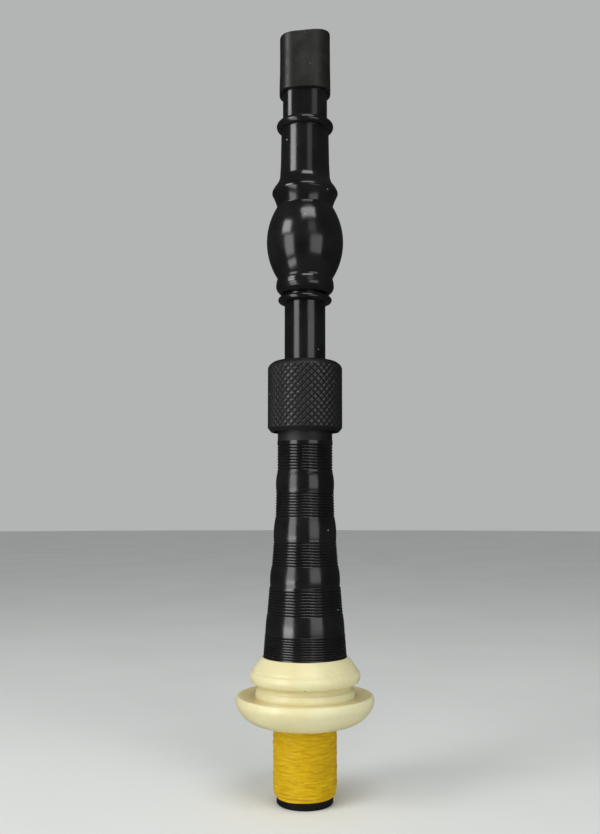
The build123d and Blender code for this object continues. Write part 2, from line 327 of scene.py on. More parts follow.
# %% [markdown]
# ## Surface effects shared by the finishes
# Four effects turn up on several pieces: fine marks that run round a turned part,
# slow changes of tone, specks of dust and a pebbly grain. Each is a node group that
# is built once. All read Object coordinates, so the pattern stays fixed to the piece
# when it moves, and all give plain values that can feed colour, roughness or bump.

# %% Turned marks
def object_place(tree):
    return add(tree, "ShaderNodeTexCoord").outputs["Object"]


def turned_marks_group():
    """Fine rings round Z: noise squeezed along the radius and the height."""
    tree, given, end = new_tree(
        "Turned marks", {"Marks per metre": 4000.0, "Wander": 60.0}, "Height")
    x, y, z = parts(tree, object_place(tree))
    climb = plus(tree, z, from_axis(tree, x, y))
    place = vector(tree, times(tree, x, given["Wander"]), times(tree, y, given["Wander"]),
                   times(tree, climb, given["Marks per metre"]))
    return close(tree, noise(tree, place, 3.0)[0], end)


turned_marks = turned_marks_group()
print("group:", turned_marks.name)


# %% Tone, dust and grain
def tone_group():
    """Slow cloudy variation between two values."""
    tree, given, end = new_tree(
        "Tone", {"Scale": 120.0, "Low": 0.0, "High": 1.0}, "Value")
    cloud = noise(tree, object_place(tree), 4.0, given["Scale"])[0]
    value = remap(tree, cloud, 0.32, 0.68, given["Low"], given["High"],
                  interpolation_type="SMOOTHSTEP")
    return close(tree, value, end)


def dust_group():
    """Scattered specks: the middles of a few cells of a Voronoi pattern."""
    tree, given, end = new_tree(
        "Dust", {"Scale": 900.0, "Share": 0.02, "Size": 0.22}, "Mask")
    cells = add(tree, "ShaderNodeTexVoronoi", {
        "Vector": object_place(tree), "Scale": given["Scale"]})
    pick = add(tree, "ShaderNodeSeparateColor", {0: cells.outputs["Color"]}).outputs[0]
    chosen = calc(tree, "LESS_THAN", pick, given["Share"])
    near = calc(tree, "LESS_THAN", cells.outputs["Distance"], given["Size"])
    return close(tree, times(tree, chosen, near), end)


def pebble_group():
    """Soft close grain, as on moulded rubber."""
    tree, given, end = new_tree("Pebble grain", {"Scale": 3000.0}, "Height")
    grain = noise(tree, object_place(tree), 2.0, given["Scale"], Roughness=0.6)[0]
    return close(tree, grain, end)


tone, dust, pebble = tone_group(), dust_group(), pebble_group()
print("groups:", tone.name, dust.name, pebble.name)

# %% [markdown]
# ## Finishes
# Each finish is one Principled material. A small starter makes the material and sets
# what never changes on the shader itself; the groups then supply what varies over
# the surface.

# %% Material helpers
def start_material(name, **constants):
    """A material with its Principled shader. Returns the tree and the shader."""
    material = bpy.data.materials.new(name)
    material.use_nodes = True
    tree = material.node_tree
    shader = tree.nodes["Principled BSDF"]
    for socket, value in constants.items():
        shader.inputs[socket.replace("_", " ")].default_value = value
    return material, tree, shader


def use(tree, group, **values):
    """A shared group placed in a material, with this finish's own values."""
    made = add(tree, "ShaderNodeGroup", node_tree=group)
    for name, value in values.items():
        made.inputs[name.replace("_", " ")].default_value = value
    return made.outputs[0]


def blend_colour(tree, factor, first, second):
    """Mixes two colours or colour sockets by a factor socket."""
    mixed = add(tree, "ShaderNodeMix", {0: factor}, data_type="RGBA")
    for slot, colour in ((6, first), (7, second)):
        if isinstance(colour, bpy.types.NodeSocket):
            tree.links.new(colour, mixed.inputs[slot])
        else:
            mixed.inputs[slot].default_value = (*colour, 1)
    return mixed.outputs[2]


def bump(tree, shader, height, depth):
    """Feeds the shader's normal from a height, with its depth in metres."""
    made = add(tree, "ShaderNodeBump", {"Height": height, "Distance": depth})
    feed(tree, shader, Normal=made.outputs[0])


def feed(tree, shader, **values):
    """Links sockets to the shader's inputs; underscores in names stand for spaces."""
    for name, socket in values.items():
        tree.links.new(socket, shader.inputs[name.replace("_", " ")])


def radius_and_height(tree):
    """Distance from the pipe's axis, and the height, from Object coordinates."""
    x, y, z = parts(tree, object_place(tree))
    return from_axis(tree, x, y), z


print("material helpers ready")

# %% [markdown]
# ### Polished black acetal
# The long pieces are acetal turned and polished to a deep black. Up close it is not a
# perfect mirror: fine turning marks soften the highlights along the pipe, handling
# leaves cloudy patches, and a few specks of dust show as pale dots.

# %% Polished and matte acetal
NECK_FROM, NECK_TO = 0.0984, 0.0986        # heights between which the polish stops
NECK_ROUGHNESS = 0.56
CREST_FROM, CREST_TO = 0.01305, 0.01327    # radii between which the diamonds are worn


def polished_acetal(name="black_acetal"):
    material, tree, shader = start_material(name, Specular_IOR_Level=0.5)
    specks = use(tree, dust, Scale=620.0, Share=0.012, Size=0.16)
    cloud = use(tree, tone, Scale=90.0)
    body = blend_colour(tree, cloud, (0.0055, 0.0052, 0.0058), (0.0105, 0.0098, 0.0100))
    dusty = blend_colour(tree, specks, body, (0.32, 0.31, 0.28))
    handled = use(tree, tone, Scale=210.0, Low=0.13, High=0.19)
    fine = use(tree, turned_marks, Marks_per_metre=5200.0, Wander=40.0)
    rough = scaled(tree, fine, 0.03, handled)
    feed(tree, shader, Base_Color=dusty, Roughness=scaled(tree, specks, 0.4, rough))
    bump(tree, shader, fine, 0.0000006)
    return material


def stick_acetal():
    """Polished acetal, left dull from the tool on the neck under the collar."""
    material = polished_acetal("stick_acetal")
    tree = material.node_tree
    rough = tree.nodes["Principled BSDF"].inputs["Roughness"]
    _, height = radius_and_height(tree)
    neck = remap(tree, height, NECK_FROM, NECK_TO)
    dull = add(tree, "ShaderNodeMix", {0: neck, 2: rough.links[0].from_socket,
                                       3: NECK_ROUGHNESS})
    tree.links.new(dull.outputs[0], rough)
    return material


def knurled_acetal():
    """Matte collar: cut flanks are dull, the diamond tops are rubbed smoother."""
    material, tree, shader = start_material("collar_acetal", Specular_IOR_Level=0.45)
    radius, _ = radius_and_height(tree)
    top = remap(tree, radius, CREST_FROM, CREST_TO)
    cloud = use(tree, tone, Scale=700.0, Low=0.35, High=1.0)
    worn = times(tree, top, cloud)
    body = blend_colour(tree, worn, (0.0070, 0.0070, 0.0072), (0.018, 0.0178, 0.0176))
    specks = use(tree, dust, Scale=800.0, Share=0.03, Size=0.2)
    feed(tree, shader, Base_Color=blend_colour(tree, specks, body, (0.15, 0.15, 0.14)),
         Roughness=remap(tree, worn, 0.0, 1.0, 0.5, 0.27))
    bump(tree, shader, use(tree, pebble, Scale=5200.0), 0.00002)
    return material


black_acetal, neck_acetal, collar_acetal = polished_acetal(), stick_acetal(), knurled_acetal()
print("finishes:", black_acetal.name, neck_acetal.name, collar_acetal.name)

# %% [markdown]
# ### Imitation ivory
# The mount is cast resin made to look like ivory: cream, a little translucent and
# satin rather than glossy. The real thing is slightly uneven in tone and has very faint
# growth lines. Its cove and its dish are given painted shade: a darker, orange colour.

# %% Imitation ivory
COVE_WALL, COVE_FLOOR = 0.0178, 0.0171     # radii between which the painted shade in the cove grows
COVE_HEIGHT, COVE_HALF = 0.0131, 0.0010
DISH_EDGE, DISH_DEEP = 0.0101, 0.0090      # heights between which the painted shade in the dish grows
DISH_RADIUS, DISH_FLOOR = 0.0228, 0.0086
# how strongly the painted shade darkens the cove and the dish
COVE_PAINTED_SHADE, DISH_PAINTED_SHADE = 0.15, 0.25


def imitation_ivory():
    material, tree, shader = start_material(
        "imitation_ivory", Subsurface_Weight=0.22, Subsurface_Scale=0.0016,
        Specular_IOR_Level=0.42)
    shader.inputs["Subsurface Radius"].default_value = (1.0, 0.62, 0.30)
    cloud = use(tree, tone, Scale=55.0)
    body = blend_colour(tree, cloud, (0.73, 0.665, 0.375), (0.785, 0.745, 0.47))
    place = add(tree, "ShaderNodeMapping", {0: object_place(tree)})
    place.inputs["Scale"].default_value = (240.0, 900.0, 26.0)
    lines = noise(tree, place.outputs[0], 3.0, Distortion=0.4)[0]
    faint = remap(tree, lines, 0.45, 0.75, 0.0, 0.16)
    lined = blend_colour(tree, faint, body, (0.66, 0.50, 0.24))
    radius, height = radius_and_height(tree)
    # painted shade: the cove and the dish are darkened and tinted orange, in place of their
    # shadow
    hollow = remap(tree, radius, COVE_WALL, COVE_FLOOR)
    beside = calc(tree, "COMPARE", height, COVE_HEIGHT, COVE_HALF)
    dish = remap(tree, height, DISH_EDGE, DISH_DEEP)
    within = times(tree, calc(tree, "LESS_THAN", radius, DISH_RADIUS),
                   calc(tree, "GREATER_THAN", height, DISH_FLOOR))
    groove = calc(tree, "MAXIMUM", times(tree, times(tree, hollow, beside), COVE_PAINTED_SHADE),
                  times(tree, times(tree, dish, within), DISH_PAINTED_SHADE))
    shade = blend_colour(tree, groove, lined, (0.62, 0.43, 0.19))
    specks = use(tree, dust, Scale=420.0, Share=0.012, Size=0.14)
    fine = use(tree, turned_marks, Marks_per_metre=2600.0, Wander=30.0)
    feed(tree, shader, Base_Color=blend_colour(tree, specks, shade, (0.30, 0.22, 0.12)),
         Roughness=scaled(tree, fine, 0.16, 0.27))
    bump(tree, shader, fine, 0.000004)
    return material


ivory = imitation_ivory()
print("finish:", ivory.name)

# %% [markdown]
# ### Rubber, hemp and the small inner parts
# The bite sleeve is soft black rubber with a bloom that dulls it. Hemp is a waxed,
# twisted thread: its colour drifts along its length, and the twist is a fine slanting
# ridge. The tree that winds it stores how far along the thread each point is, and the
# height of the thread's own middle, so the shader can draw the twist, with painted
# shade in its hollows.

# %% Rubber and hemp
def rubber(name, colour, bloom, rough):
    material, tree, shader = start_material(name, Specular_IOR_Level=0.28)
    cloud = use(tree, tone, Scale=160.0)
    specks = use(tree, dust, Scale=1100.0, Share=0.012, Size=0.2)
    body = blend_colour(tree, cloud, colour, bloom)
    feed(tree, shader, Base_Color=blend_colour(tree, specks, body, (0.10, 0.10, 0.09)),
         Roughness=use(tree, tone, Scale=420.0, Low=rough[0], High=rough[1]))
    bump(tree, shader, use(tree, pebble, Scale=4200.0), 0.000016)
    return material


def waxed_hemp():
    material, tree, shader = start_material("yellow_hemp", Specular_IOR_Level=0.15)
    along = add(tree, "ShaderNodeAttribute", attribute_name="along").outputs["Fac"]
    middle = add(tree, "ShaderNodeAttribute", attribute_name="thread_z").outputs["Fac"]
    _, height = radius_and_height(tree)
    across = minus(tree, height, middle)
    drift = add(tree, "ShaderNodeTexNoise", {"W": times(tree, along, 160.0), "Scale": 1.0,
                                             "Detail": 4.0}, noise_dimensions="1D")
    tint = remap(tree, drift.outputs[0], 0.3, 0.7)
    body = blend_colour(tree, tint, (0.62, 0.37, 0.003), (0.92, 0.66, 0.009))
    twist = scaled(tree, along, 1100.0, times(tree, across, 1300.0))
    ridge = wave(tree, twist)
    strand = vector(tree, times(tree, twist, 6.0), times(tree, along, 400.0),
                    times(tree, across, 3000.0))
    fibre = noise(tree, strand, 3.0)[0]
    # painted shade: the low parts of the twist, its hollows, take the dark colour; the fibre
    # noise adds random tone
    shade = scaled(tree, ridge, 0.55, times(tree, fibre, 0.5))
    feed(tree, shader, Base_Color=blend_colour(tree, shade, (0.46, 0.255, 0.002), body),
         Roughness=use(tree, tone, Scale=500.0, Low=0.42, High=0.62))
    bump(tree, shader, shade, 0.00005)
    return material


bite_rubber = rubber("bite_rubber", (0.010, 0.0103, 0.0092), (0.016, 0.0165, 0.0144),
                     (0.31, 0.40))
seal_rubber = rubber("seal_rubber", (0.008, 0.008, 0.008), (0.016, 0.016, 0.017), (0.28, 0.42))
flap_silicone = rubber("flap_silicone", (0.30, 0.030, 0.022), (0.38, 0.050, 0.035), (0.45, 0.6))
yellow_hemp = waxed_hemp()
print("finishes:", bite_rubber.name, seal_rubber.name, flap_silicone.name, yellow_hemp.name)


# %% Metals and plastics inside
def turned_finish(name, dark, light, rough, patches, marks, wander, uneven, depth, **constants):
    """A turned surface: patches of tone and fine rings that also roughen it."""
    material, tree, shader = start_material(name, **constants)
    patch = use(tree, tone, Scale=patches)
    fine = use(tree, turned_marks, Marks_per_metre=marks, Wander=wander)
    feed(tree, shader, Base_Color=blend_colour(tree, patch, dark, light),
         Roughness=scaled(tree, fine, uneven, rough))
    bump(tree, shader, fine, depth)
    return material


PLASTIC = dict(patches=240.0, marks=3800.0, wander=60.0, uneven=0.15, depth=0.000008,
               Specular_IOR_Level=0.45)
METAL = dict(patches=380.0, marks=6500.0, wander=120.0, uneven=0.22, depth=0.000006,
             Metallic=1.0)
grip_nylon = turned_finish("grip_nylon", (0.56, 0.53, 0.45), (0.66, 0.64, 0.57), 0.36, **PLASTIC)
valve_plastic = turned_finish("valve_plastic", (0.020, 0.020, 0.022), (0.034, 0.034, 0.037),
                              0.38, **PLASTIC)
washer_brass = turned_finish("washer_brass", (0.50, 0.34, 0.12), (0.78, 0.60, 0.28), 0.22,
                             **METAL)
pin_steel = turned_finish("pin_steel", (0.42, 0.41, 0.40), (0.62, 0.62, 0.61), 0.16, **METAL)
print("finishes:", grip_nylon.name, valve_plastic.name, washer_brass.name, pin_steel.name)

# %% [markdown]
# ## The mouthpiece
# From the foot up: a small bead, the bulb that gives the hand something to turn, a
# sharp-edged flare, a slow taper, a thin ring, and the stem that the rubber sleeve
# grips. It is one turning, so it is one profile, with its airway and socket inside.
# The stem above the ring is oval, so its rings are spliced into the turned ones.
# Every finished piece rides on the body that moves it and stands for its CAD node.

# %% Mouthpiece
def finish_piece(obj, material, body, node):
    """Gives a finished piece its material, its body and its CAD node."""
    obj.data.materials.clear()
    obj.data.materials.append(material)
    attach(obj, body)
    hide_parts(node)


AIRWAY = 4.2               # radius, mm
THIN_RING_TOP = 214.7
STEM_TOP = 244.6
BITE_POWER = 3.0           # 2 would be an ellipse; more is nearer a rectangle
BITE_FLATNESS = 0.9        # depth over width


def oval_reach(half_width, angle):
    """Distance from the axis to the oval bite section, in a direction."""
    across = (abs(math.cos(angle)) / half_width) ** BITE_POWER
    deep = (abs(math.sin(angle)) / (half_width * BITE_FLATNESS)) ** BITE_POWER
    return (across + deep) ** (-1 / BITE_POWER)


turned_part = eased(outline(
    (7.0, 151.5), (8.3, 151.5),
    ((8.9, 151.7), (9.2, 152.0)),
    ((10.32, 153.7), (10.3, 155.2)),
    ((10.2, 156.2), (9.95, 156.9)),
    (10.0, 157.6),
    ((13.76, 170.6), (10.1, 183.2)),
    (10.1, 183.7),
    ((10.85, 186.0), (11.85, 188.1)),
    (11.85, 188.8),
    ((11.5, 189.6), (10.6, 191.0)),
    ((9.5, 192.8), (9.03, 194.6)),
    (8.78, 199.5), (8.6, 209.6), (8.6, 211.6),
    ((10.29, 213.1), (8.5, THIN_RING_TOP)),
    (AIRWAY, THIN_RING_TOP), (AIRWAY, 172.0), (7.0, 172.0)), size=0.1)
turned_rings = round_rings(turned_part)
stem_levels = [(8.02, z) for z in (214.72, 218.0, 222.0, 226.0, 232.0, 238.0, 243.9)]
stem_levels += [(8.0, 244.1), (7.6, 244.5), (7.45, STEM_TOP)]
oval_rings = [lambda angle, w=w, z=z: (oval_reach(w, angle), z) for w, z in stem_levels]
airway_rings = round_rings([(AIRWAY, z) for z in (STEM_TOP, 230.0, 215.0)])
# the stem goes in where the profile turns inwards above the thin ring
turn_in = next(i for i, (r, z) in enumerate(turned_part) if r < 6.0 and z > THIN_RING_TOP - 0.01)
mouthpiece = skin("turned_mouthpiece", turned_rings[:turn_in] + oval_rings + airway_rings
                  + turned_rings[turn_in + 1:])
finish_piece(mouthpiece, black_acetal, "mouthpiece", "mouthpiece")
print("mouthpiece:", len(mouthpiece.data.polygons), "faces")

# %% [markdown]
# ## The bite sleeve
# A length of rubber tube is cut by hand and pushed over the oval stem, so neither end
# is quite square. Each ring of the skin leans between two slanting cut planes. The
# foot is stretched where it was rolled on, and the wall is a little uneven, as soft
# rubber is.

# %% Bite sleeve
SLEEVE_ROWS = 60
# level on the axis, slope across and slope in depth
TOP_CUT = (246.4, math.tan(math.radians(5.1)), math.tan(math.radians(3.4)))
FOOT_CUT = (225.3, math.tan(math.radians(1.9)), math.tan(math.radians(2.3)))
EDGE = 0.3                 # rounding of the cut edges, in mm
SLEEVE_WIDTH, SLEEVE_STRETCH = 9.10, 0.20
SLEEVE_BORE = 8.03


def cut_height(cut, angle, reach=8.9):
    """Height of a slanting cut: level on the axis, slope across and slope in depth."""
    level, across, deep = cut
    return level + reach * (across * math.cos(angle) + deep * math.sin(angle))


def sleeve_reach(z, angle):
    """Outer reach of the sleeve, stretched towards its foot and slightly uneven."""
    half_width = SLEEVE_WIDTH + SLEEVE_STRETCH / (1 + math.exp((z - 231.0) / 2.2))
    uneven = 0.025 * math.sin(3 * angle + z * 0.22) + 0.012 * math.sin(z * 0.9 + angle)
    return oval_reach(half_width, angle) + uneven


def wall_ring(outer, share, inset, lift):
    """One ring of the sleeve, at a share of the height between its two cuts."""
    def ring(angle):
        foot, top = cut_height(FOOT_CUT, angle), cut_height(TOP_CUT, angle)
        z = foot + (top - foot) * share + lift
        full = sleeve_reach(z, angle) if outer else oval_reach(SLEEVE_BORE, angle)
        return full - inset, z
    return ring


rim = [(EDGE * (1 - math.sin(a)), EDGE * (1 - math.cos(a)))
       for a in (TURN / 4 * i / 5 for i in range(6))]
rings = [wall_ring(False, 0.0, -0.1, 0.0)]
rings += [wall_ring(True, 0.0, inset, lift) for inset, lift in rim]
rings += [wall_ring(True, i / SLEEVE_ROWS, 0.0, 0.0) for i in range(2, SLEEVE_ROWS - 1)]
rings += [wall_ring(True, 1.0, inset, -lift) for inset, lift in reversed(rim)]
rings += [wall_ring(False, 1.0, -0.1, 0.0), wall_ring(False, 1.0, 0.0, -0.1)]
rings += [wall_ring(False, share, 0.0, 0.0) for share in (0.7, 0.4)]
rings += [wall_ring(False, 0.0, 0.0, 0.1)]
bite_sleeve = skin("rubber_bite_sleeve", rings)
finish_piece(bite_sleeve, bite_rubber, "mouthpiece", "bite_sleeve")
print("bite sleeve:", len(bite_sleeve.data.polygons), "faces")

# %% [markdown]
# ## The slide tube
# The tube telescopes in the blowstick. Its lower end is a piston with two O-ring
# grooves, a flange ring stops it at the top, and the spigot above the flange carries
# the mouthpiece on two more O-rings. The O-rings themselves stay as CAD pieces.

# %% Slide tube
def ring_groove(radius, floor, z, half):
    """Points of a square groove in a wall that the profile climbs."""
    return [(radius, z - half), (floor, z - half), (floor, z + half), (radius, z + half)]


slide_tube = lathe("telescoping_slide_tube", eased(outline(
    (4.6, 49.5), (7.43, 49.5), (7.93, 50.0),
    *ring_groove(7.93, 6.53, 51.4, 0.8), *ring_groove(7.93, 6.53, 54.9, 0.8),
    (7.93, 57.5), (7.32, 57.5), (7.32, 148.2), (8.7, 148.3),
    ((9.6, 149.2), (8.6, 150.6)), (7.7, 150.6), (7.7, 151.4), (6.94, 151.4),
    *ring_groove(6.94, 6.1, 157.0, 0.55), *ring_groove(6.94, 6.1, 164.0, 0.55),
    (6.94, 169.5), (6.44, 170.0), (4.6, 170.0)), size=0.1))
finish_piece(slide_tube, black_acetal, "slide_tube", "slide_tube")

# %% [markdown]
# ## Screw threads
# The collar runs on a fine thread on the neck of the blowstick. A thread is a small
# ridge wrapped along a helix, so Geometry Nodes can make it from a flat strip: one
# way along the strip is the angle round the neck, the other goes round the ridge's
# section. Both ends fade to nothing, as a real thread runs out, and that also closes
# them. The same tree, with its crest inside its root, gives the collar's thread.

# %% Thread tree
def thread_tree():
    tree, given, end = new_tree(
        "Screw thread",
        {"Turns": 9.0, "Pitch": 0.0015, "Start": 0.105, "Root radius": 0.0101,
         "Crest radius": 0.01095, "Root half width": 0.00058, "Crest half width": 0.0001,
         "Steps": 900, "Finish": "Material"}, "Geometry")
    strip = add(tree, "GeometryNodeMeshGrid", {
        "Size X": 1.0, "Size Y": 4.0, "Vertices X": given["Steps"], "Vertices Y": 5})
    x, y, _ = parts(tree, add(tree, "GeometryNodeInputPosition").outputs[0])
    share = plus(tree, x, 0.5)
    corner = calc(tree, "FLOORED_MODULO", calc(tree, "ROUND", plus(tree, y, 2.0)), 4.0)
    near_end = calc(tree, "MINIMUM", share, minus(tree, 1.0, share))
    fade = calc(tree, "MINIMUM", times(tree, times(tree, near_end, given["Turns"]), 3.0), 1.0)
    # corners 1 and 2 are on the crest, corners 2 and 3 are the upper ones
    crest = calc(tree, "COMPARE", corner, 1.5, 0.6)
    upper = scaled(tree, calc(tree, "COMPARE", corner, 2.5, 0.6), 2.0, -1.0)
    depth = minus(tree, given["Crest radius"], given["Root radius"])
    radius = scaled(tree, times(tree, crest, fade), depth, given["Root radius"])
    narrow = minus(tree, given["Crest half width"], given["Root half width"])
    half = scaled(tree, crest, narrow, given["Root half width"])
    turned = times(tree, share, given["Turns"])
    middle = plus(tree, given["Start"], times(tree, turned, given["Pitch"]))
    z = scaled(tree, times(tree, upper, half), fade, middle)
    angle = times(tree, turned, TURN)
    bent = moved_to(tree, strip.outputs[0], angle, radius, z)
    welded = add(tree, "GeometryNodeMergeByDistance", {0: bent, "Distance": 0.0000005})
    return close_shape(tree, welded.outputs[0], given["Finish"], end)


THREAD_PITCH = 0.0015
THREAD_EDGE = 25           # degrees between faces from which an edge stays hard
thread = thread_tree()


def grow(name, tree, material, sharp, **sizes):
    """A shape that a tree makes from nothing, as its own object."""
    made = mesh_object(name, [], [])
    put_on(made, tree, Finish=material, **sizes)
    return smooth(bake(made), sharp)


neck_thread = grow("neck_thread", thread, neck_acetal, THREAD_EDGE, Turns=9.2,
                   Pitch=THREAD_PITCH, Start=0.1053, Root_radius=0.01005,
                   Crest_radius=0.01095, Root_half_width=0.00061,
                   Crest_half_width=0.000094, Steps=480)

# %% [markdown]
# ## The blowstick
# The stem is a gentle taper of alternating beads and combed bands. A comb tool cuts
# nine fine V grooves at once, so each band is the same cut on a different taper. The
# blank is turned with close rows where the combs go, and the comb is a tree that
# pushes those rows inwards: one modifier for each of the five bands.

# %% Comb tree
COMB_DEPTH = 0.3
INSIDE_RADIUS = 9.2        # the comb leaves the bore, which lies within this, alone
GROOVES = 9
ROWS_TO_GROOVE = 8
# bottom, top, and the radius at each
BANDS = ((23.4, 31.0, 14.65, 14.1), (37.8, 46.8, 13.35, 12.65), (54.6, 63.4, 11.75, 11.08),
         (71.7, 80.5, 10.46, 10.25), (88.2, 97.4, 9.79, 9.79))


def comb_tree():
    tree, given, end = new_tree(
        "Combing",
        {"Geometry": "Geometry", "Bottom": 0.0, "Top": 0.01, "Grooves": 9.0,
         "Depth": 0.0003, "Inside radius": 0.009, "Finish": "Material"}, "Geometry")
    angle, radius, z = polar(tree)
    share = remap(tree, z, given["Bottom"], given["Top"], 0.0, given["Grooves"])
    # the V takes the middle three fifths of each pitch and leaves a flat between
    valley = scaled(tree, wave(tree, share), 1.667, -0.667)
    cut = times(tree, calc(tree, "MAXIMUM", valley, 0.0), given["Depth"])
    outside = calc(tree, "GREATER_THAN", radius, given["Inside radius"])
    inner = minus(tree, radius, times(tree, cut, outside))
    moved = moved_to(tree, given["Geometry"], angle, inner, z)
    return close_shape(tree, moved, given["Finish"], end)


def band_rows(bottom, top, low, high):
    """Close, even rows on the taper of one combed band."""
    count = GROOVES * ROWS_TO_GROOVE
    return [(low + (high - low) * i / count, bottom + (top - bottom) * i / count)
            for i in range(count + 1)]


stem = outline(
    (7.2, -27.2), (9.37, -27.2), (9.87, -26.7), (9.87, -24.6), (9.4, -24.6), (9.4, 0.0),
    (11.6, 0.0), (11.6, 23.1), (14.75, 23.1),
    *band_rows(*BANDS[0]), (13.95, 31.1), ((13.82, 34.0), (13.4, 37.6)),
    *band_rows(*BANDS[1]), (12.25, 47.6), ((12.32, 50.7), (11.8, 54.4)),
    *band_rows(*BANDS[2]), (11.02, 63.8), ((11.08, 66.5), (10.5, 71.4)),
    *band_rows(*BANDS[3]), (10.15, 80.8), ((10.33, 83.6), (9.78, 87.8)),
    *band_rows(*BANDS[4]), (9.83, 97.7), (9.83, 98.7), (9.7, 99.1),
    (9.7, 104.0), (10.1, 104.4), (10.1, 120.0), (8.9, 120.0), (8.9, 106.0),
    (8.0, 106.0), (8.0, 29.5), (5.6, 29.5), (5.6, -9.0), (7.2, -9.0))
blowstick = lathe("combed_blowstick", eased(stem, size=0.1))
combing = comb_tree()
for bottom, top, low, high in BANDS:
    put_on(blowstick, combing, Bottom=bottom * MM, Top=top * MM, Grooves=float(GROOVES),
           Depth=COMB_DEPTH * MM, Inside_radius=INSIDE_RADIUS * MM, Finish=neck_acetal)
bake(blowstick)


# %% Neck thread joined to the blowstick
def join(piece, extra):
    """Adds one mesh to another, as loose shells of the same piece."""
    both = [piece, extra]
    with bpy.context.temp_override(active_object=piece, selected_objects=both,
                                   selected_editable_objects=both):
        bpy.ops.object.join()
    return smooth(piece, 32)


join(blowstick, neck_thread)
finish_piece(blowstick, neck_acetal, "blowstick", "blowstick")
print("blowstick:", len(blowstick.data.polygons), "faces")

# %% [markdown]
# ## The locking collar
# A knurling tool rolls two sets of helical grooves across each other and leaves rows
# of small diamonds. Bump alone would leave a smooth outline, so the diamonds are real.
# The blank's rows are half a cell apart and every other row is turned by half a cell,
# which lays the mesh edges along both sets of grooves and keeps them crisp.

# %% Knurl tree
STARTS = 34
CELLS = 8                  # mesh cells across one diamond
COLLAR_RADIUS = 13.28
KNURL_PITCH = TURN * COLLAR_RADIUS / STARTS
KNURL_FROM = 102.3
KNURL_DEPTH = 0.32


def knurl_tree():
    tree, given, end = new_tree(
        "Diamond knurl",
        {"Geometry": "Geometry", "Radius": 0.0133, "Starts": 34.0, "Pitch": 0.00245,
         "Cells": 8.0, "Depth": 0.0005, "From height": 0.1, "Finish": "Material"}, "Geometry")
    angle, radius, z = polar(tree)
    row = add(tree, "GeometryNodeInputNamedAttribute", {"Name": "knurl_row"},
              data_type="FLOAT").outputs["Attribute"]
    knurled = calc(tree, "GREATER_THAN", row, -0.5)
    odd = times(tree, calc(tree, "FLOORED_MODULO", row, 2.0), knurled)
    half_cell = calc(tree, "DIVIDE", TURN / 2, times(tree, given["Starts"], given["Cells"]))
    turned = scaled(tree, odd, half_cell, angle)
    around = times(tree, turned, calc(tree, "DIVIDE", given["Starts"], TURN))
    up = calc(tree, "DIVIDE", minus(tree, z, given["From height"]), given["Pitch"])
    one = wave(tree, plus(tree, around, up))
    other = wave(tree, minus(tree, around, up))
    # narrow grooves between broad tops
    slope = times(tree, calc(tree, "MINIMUM", one, other), 2.6)
    peak = calc(tree, "MINIMUM", slope, 1.0)
    floor = minus(tree, given["Radius"], given["Depth"])
    rolled = scaled(tree, peak, given["Depth"], floor)
    least = calc(tree, "MINIMUM", radius, rolled)
    chosen = add(tree, "ShaderNodeMix", {0: knurled, 2: radius, 3: least}).outputs[0]
    moved = moved_to(tree, given["Geometry"], turned, chosen, z)
    cut = add(tree, "GeometryNodeTriangulate", {0: moved},
              quad_method="SHORTEST_DIAGONAL")
    return close_shape(tree, cut.outputs[0], given["Finish"], end)


# %% Collar blank and knurling
def collar_wall():
    """Outside of the collar as close rows, from its lower to its upper chamfer."""
    rows = []
    step = KNURL_PITCH / CELLS / 2
    shape = outline((12.08, 101.9), (COLLAR_RADIUS, 103.4), (COLLAR_RADIUS, 124.7),
                    ((12.72, 125.75), (12.08, 126.35)), ((11.2, 126.9), (9.98, 127.2)))
    for k in range(int((126.3 - KNURL_FROM) / step) + 1):
        z = KNURL_FROM + k * step
        above = next(i for i, point in enumerate(shape) if point[1] >= z)
        (r0, z0), (r1, z1) = shape[above - 1], shape[above]
        rows.append((r0 + (r1 - r0) * (z - z0) / (z1 - z0), z))
    return rows, [point for point in shape if point[1] > rows[-1][1] + 0.1]


wall, rounding = collar_wall()
before = [(11.12, 104.0), (11.25, 104.0), (11.25, 101.9), (12.08, 101.9)]
inside = [(7.52, 127.2), (7.52, 124.3), (8.46, 124.3), (9.86, 121.85), (9.86, 120.3),
          (11.25, 120.3), (11.25, 119.0), (11.12, 119.0)]
collar = lathe("knurled_locking_collar", before + wall + rounding + inside, STARTS * CELLS)
# each vertex keeps the number of its knurled row, or -1 away from the knurl
marks = collar.data.attributes.new("knurl_row", "FLOAT", "POINT")
for i, mark in enumerate(marks.data):
    row = i // (STARTS * CELLS) - len(before)
    mark.value = float(row) if 0 <= row < len(wall) else -1.0
put_on(collar, knurl_tree(), Radius=COLLAR_RADIUS * MM, Starts=float(STARTS),
       Pitch=KNURL_PITCH * MM, Cells=float(CELLS), Depth=KNURL_DEPTH * MM,
       From_height=KNURL_FROM * MM, Finish=collar_acetal)
bake(collar)
collar_thread = grow("collar_thread", thread, collar_acetal, THREAD_EDGE, Turns=9.6,
                     Pitch=THREAD_PITCH, Start=0.1042, Root_radius=0.01118,
                     Crest_radius=0.0102, Root_half_width=0.00063,
                     Crest_half_width=0.00009, Steps=900)
join(collar, collar_thread)
smooth(collar, THREAD_EDGE)
finish_piece(collar, collar_acetal, "locking_collar", "locking_collar")

# %% [markdown]
# ## The projecting mount
# A bowl-shaped flange with a dished top, a small ring, a cove, a bead and a cone up to
# the stem. The flange overhangs the stock in use, so its underside shows too.

